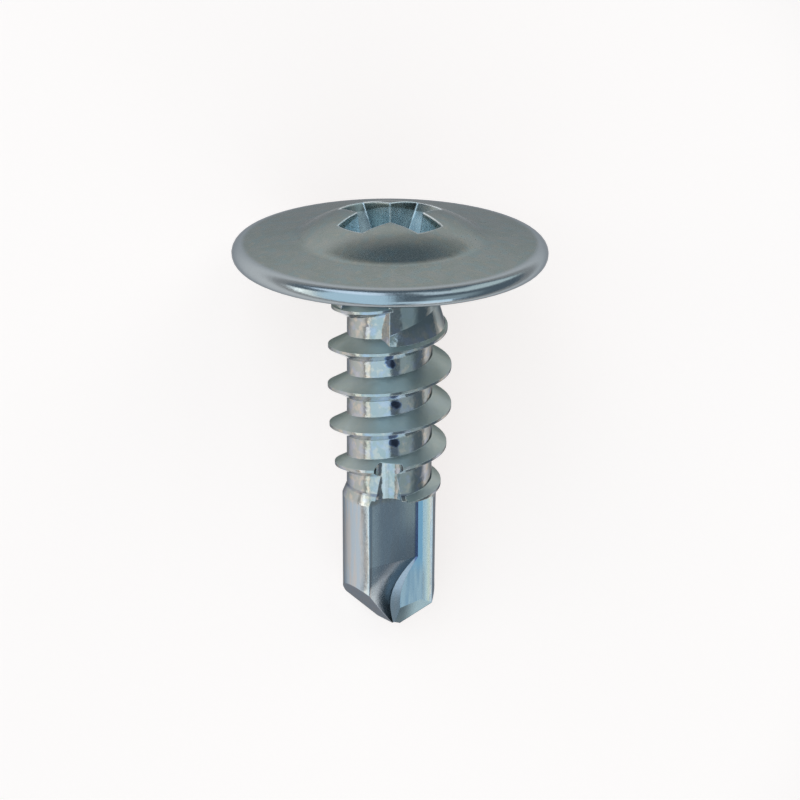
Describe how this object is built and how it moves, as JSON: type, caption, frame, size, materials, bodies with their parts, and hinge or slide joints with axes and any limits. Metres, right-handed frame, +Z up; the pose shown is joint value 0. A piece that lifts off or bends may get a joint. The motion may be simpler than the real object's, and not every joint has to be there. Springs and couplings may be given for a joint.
{
  "type": "self-drilling screw",
  "caption": "Short self-drilling sheet-metal screw with a wide, low wafer head, a cross recess, a coarse single-start thread and a fluted drill point.",
  "frame": {"origin": "centre of the footprint on the surface the screw lies on", "axes": "+Z up, +Y towards the head along the lying screw; the screw's own axis leans up towards the head by about 19.4 degrees from +Y in the YZ plane"},
  "size_m": [0.0106, 0.0147, 0.0101],
  "materials": {
    "zinc_plated_steel": "bright zinc plating, thin and slightly uneven, blue-grey, smooth on the head and finely marked by the forming dies on the shank"
  },
  "bodies": {
    "root": {"screw": "zinc_plated_steel"}
  },
  "joints": []
}
